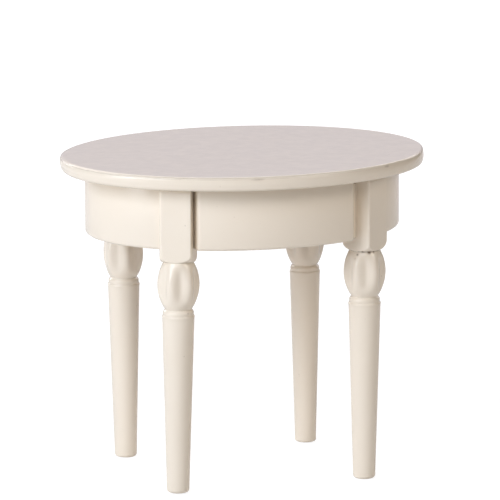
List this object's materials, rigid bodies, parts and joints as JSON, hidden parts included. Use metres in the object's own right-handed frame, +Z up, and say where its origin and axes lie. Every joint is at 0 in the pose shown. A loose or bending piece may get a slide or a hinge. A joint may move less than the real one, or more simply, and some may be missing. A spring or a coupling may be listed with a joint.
{
  "type": "miniature dining table",
  "caption": "Miniature oval dining table: painted top on a curved apron, with square-topped, fluted and tapered turned legs.",
  "frame": {"origin": "on the floor, below the centre of the oval top", "axes": "+X along the long axis of the top, -Y towards the front, +Z up"},
  "size_m": [0.126, 0.101, 0.11],
  "materials": {
    "painted_wood": "satin off-white paint, worn at the edges",
    "bare_wood": "sawn, unpainted",
    "screw_steel": "zinc plated"
  },
  "bodies": {
    "root": {"back_rail": "painted_wood", "corner_block_back_left": "bare_wood", "corner_block_back_right": "bare_wood", "corner_block_front_left": "bare_wood", "corner_block_front_right": "bare_wood", "front_rail": "painted_wood", "left_rail": "painted_wood", "leg_back_left": "painted_wood", "leg_back_right": "painted_wood", "leg_front_left": "painted_wood", "leg_front_right": "painted_wood", "leg_screw_back_left": "screw_steel", "leg_screw_back_right": "screw_steel", "leg_screw_front_left": "screw_steel", "leg_screw_front_right": "screw_steel", "right_rail": "painted_wood", "tabletop": "painted_wood", "top_screw_back_left_a": "screw_steel", "top_screw_back_left_b": "screw_steel", "top_screw_back_right_a": "screw_steel", "top_screw_back_right_b": "screw_steel", "top_screw_front_left_a": "screw_steel", "top_screw_front_left_b": "screw_steel", "top_screw_front_right_a": "screw_steel", "top_screw_front_right_b": "screw_steel"}
  },
  "joints": []
}
